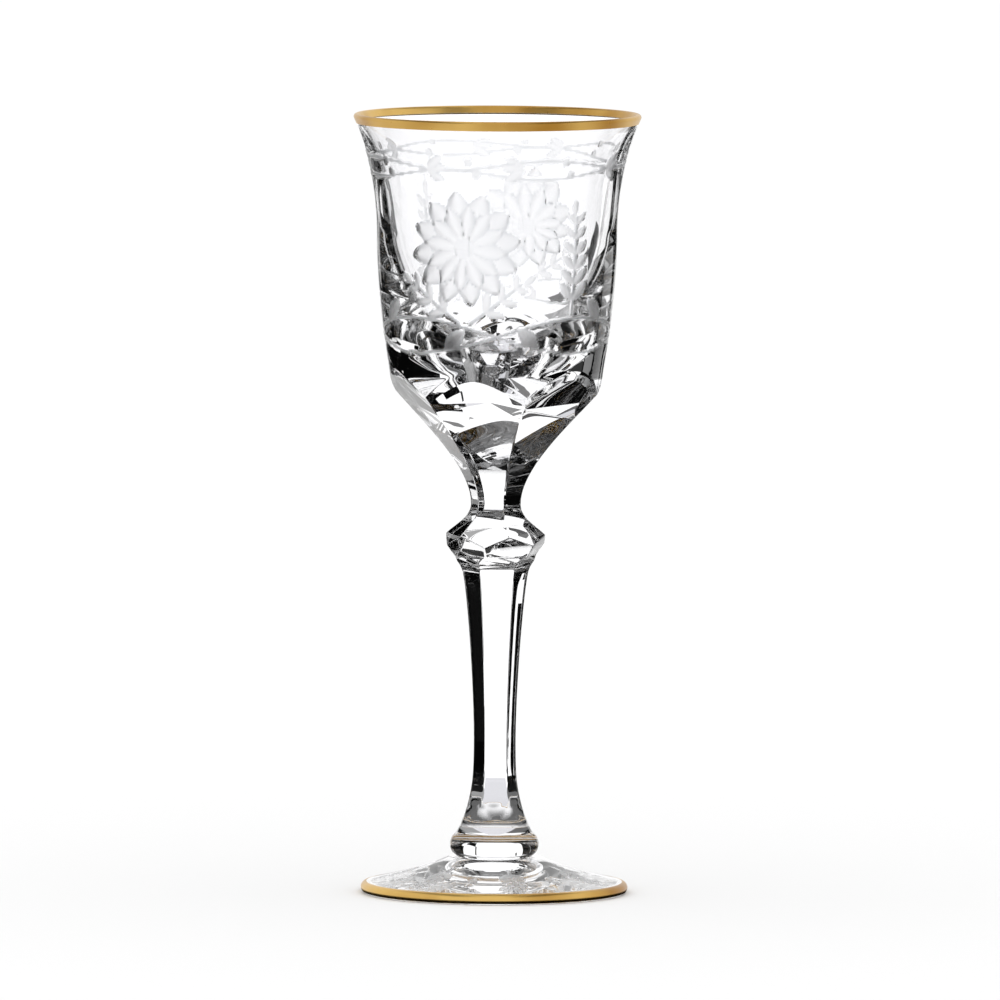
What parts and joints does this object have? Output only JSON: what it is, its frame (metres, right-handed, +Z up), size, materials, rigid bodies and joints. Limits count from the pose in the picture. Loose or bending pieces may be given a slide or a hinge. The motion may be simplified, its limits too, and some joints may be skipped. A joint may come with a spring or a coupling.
{
  "type": "cordial glass",
  "caption": "Small stemmed drinking glass of cut crystal with a flared bowl, faceted knop and stem, domed foot and gilded edges.",
  "frame": {"origin": "centre of the plane that the foot stands on", "axes": "+Z up along the glass's axis, -Y towards the picture's viewer"},
  "size_m": [0.0552, 0.0552, 0.15],
  "materials": {
    "crystal": "polished clear crystal",
    "gold": "fired and burnished gold"
  },
  "bodies": {
    "root": {"bowl": "crystal", "knop": "crystal", "stem": "crystal", "merese": "crystal", "foot": "crystal", "rim_gilding": "gold", "foot_gilding": "gold"}
  },
  "joints": []
}
